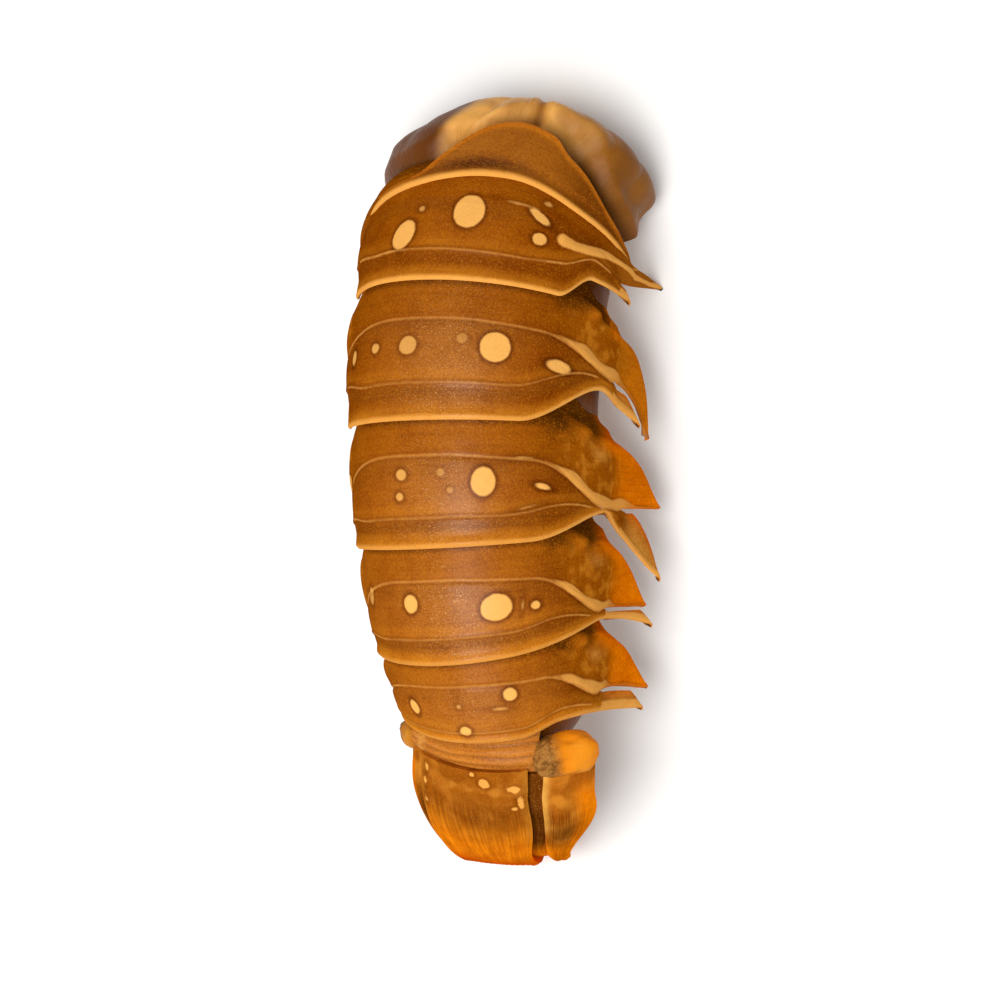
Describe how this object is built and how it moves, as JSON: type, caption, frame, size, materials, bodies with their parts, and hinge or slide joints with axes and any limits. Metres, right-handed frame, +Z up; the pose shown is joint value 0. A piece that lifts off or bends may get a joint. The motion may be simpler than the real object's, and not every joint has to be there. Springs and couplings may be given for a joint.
{
  "type": "lobster tail",
  "caption": "Raw spiny lobster tail: overlapping brown shell rings with side spikes over pale meat, and a tail fan curled under the end.",
  "frame": {"origin": "centre of the bounding box in plan, at the level the tail rests on", "axes": "+Y towards the cut end that shows the meat, -Y towards the fan, +Z up through the back of the shell, +X to the right when seen from above with the cut end up"},
  "size_m": [0.0682, 0.168, 0.055],
  "materials": {
    "shell": "moist, mottled brown shell with cream spots and pale ridges",
    "fan": "moist, thin horny shell, orange at the tips",
    "fan_base": "moist, lumpy grey-brown to orange shell",
    "meat": "moist, translucent raw meat under a thin skin",
    "swimmeret": "soft thin leaf"
  },
  "bodies": {
    "root": {"ring_1": "shell", "ring_2": "shell", "ring_3": "shell", "ring_4": "shell", "ring_5": "shell", "ring_6": "shell", "hinge": "shell", "telson": "fan", "exopod_right": "fan", "exopod_left": "fan", "endopod_right": "fan", "endopod_left": "fan", "protopod_right": "fan_base", "protopod_left": "fan_base", "flesh": "meat", "swimmeret_1_right": "swimmeret", "swimmeret_1_left": "swimmeret", "swimmeret_2_right": "swimmeret", "swimmeret_2_left": "swimmeret", "swimmeret_3_right": "swimmeret", "swimmeret_3_left": "swimmeret", "swimmeret_4_right": "swimmeret", "swimmeret_4_left": "swimmeret"}
  },
  "joints": []
}
